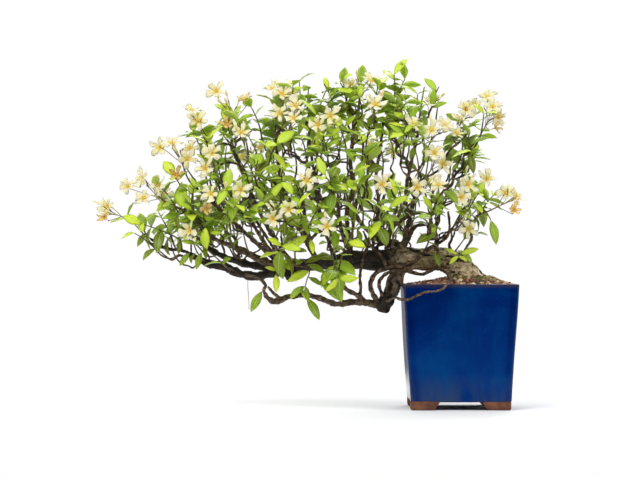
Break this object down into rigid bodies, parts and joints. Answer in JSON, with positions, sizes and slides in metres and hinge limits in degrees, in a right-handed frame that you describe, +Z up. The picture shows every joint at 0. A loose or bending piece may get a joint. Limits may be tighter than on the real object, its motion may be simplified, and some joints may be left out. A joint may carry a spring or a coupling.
{
  "type": "asiatic jasmine bonsai",
  "caption": "Flowering asiatic jasmine grown as a semi-cascade bonsai in a tall square glazed pot, with a leaning trunk, a wide leafy crown and cream pinwheel blooms.",
  "frame": {"origin": "on the surface that the pot's feet stand on, under the middle of the whole plant", "axes": "+X from the low left end of the crown towards the pot, +Y from the front to the back, +Z up"},
  "size_m": [0.4908, 0.2558, 0.3896],
  "materials": {
    "glaze": "glossy cobalt blue glaze, bare red-brown clay on the feet",
    "soil": "matt fired-clay granules with moss",
    "bark": "rough dark bark",
    "leaf": "satin green leaves, lime where young",
    "petal": "soft cream petals with a yellow throat"
  },
  "bodies": {
    "root": {"pot": "glaze", "soil": "soil", "trunk": "bark", "bloom_01": "petal", "bloom_02": "petal", "bloom_03": "petal", "bloom_04": "petal", "bloom_05": "petal", "bloom_06": "petal", "bloom_07": "petal", "bloom_08": "petal", "bloom_09": "petal", "bloom_10": "petal", "bloom_11": "petal", "bloom_12": "petal", "bloom_13": "petal", "bloom_14": "petal", "bloom_15": "petal", "bloom_16": "petal", "bloom_17": "petal", "bloom_18": "petal", "bloom_19": "petal", "bloom_20": "petal", "bloom_21": "petal", "bloom_22": "petal", "bloom_23": "petal", "bloom_24": "petal", "bloom_25": "petal", "bloom_26": "petal", "bloom_27": "petal", "bloom_28": "petal", "bloom_29": "petal", "spray_01": "leaf", "spray_02": "leaf", "spray_03": "leaf", "spray_04": "leaf", "spray_05": "leaf", "spray_06": "leaf", "spray_07": "leaf", "spray_08": "leaf", "spray_09": "leaf", "spray_10": "leaf", "spray_11": "leaf", "spray_12": "leaf", "spray_13": "leaf", "spray_14": "leaf", "spray_15": "leaf", "spray_16": "leaf", "spray_17": "leaf", "spray_18": "leaf", "spray_19": "leaf", "spray_20": "leaf", "spray_21": "leaf", "spray_22": "leaf", "spray_23": "leaf", "spray_24": "leaf", "spray_25": "leaf", "spray_26": "leaf", "spray_27": "leaf", "spray_28": "leaf"}
  },
  "joints": []
}
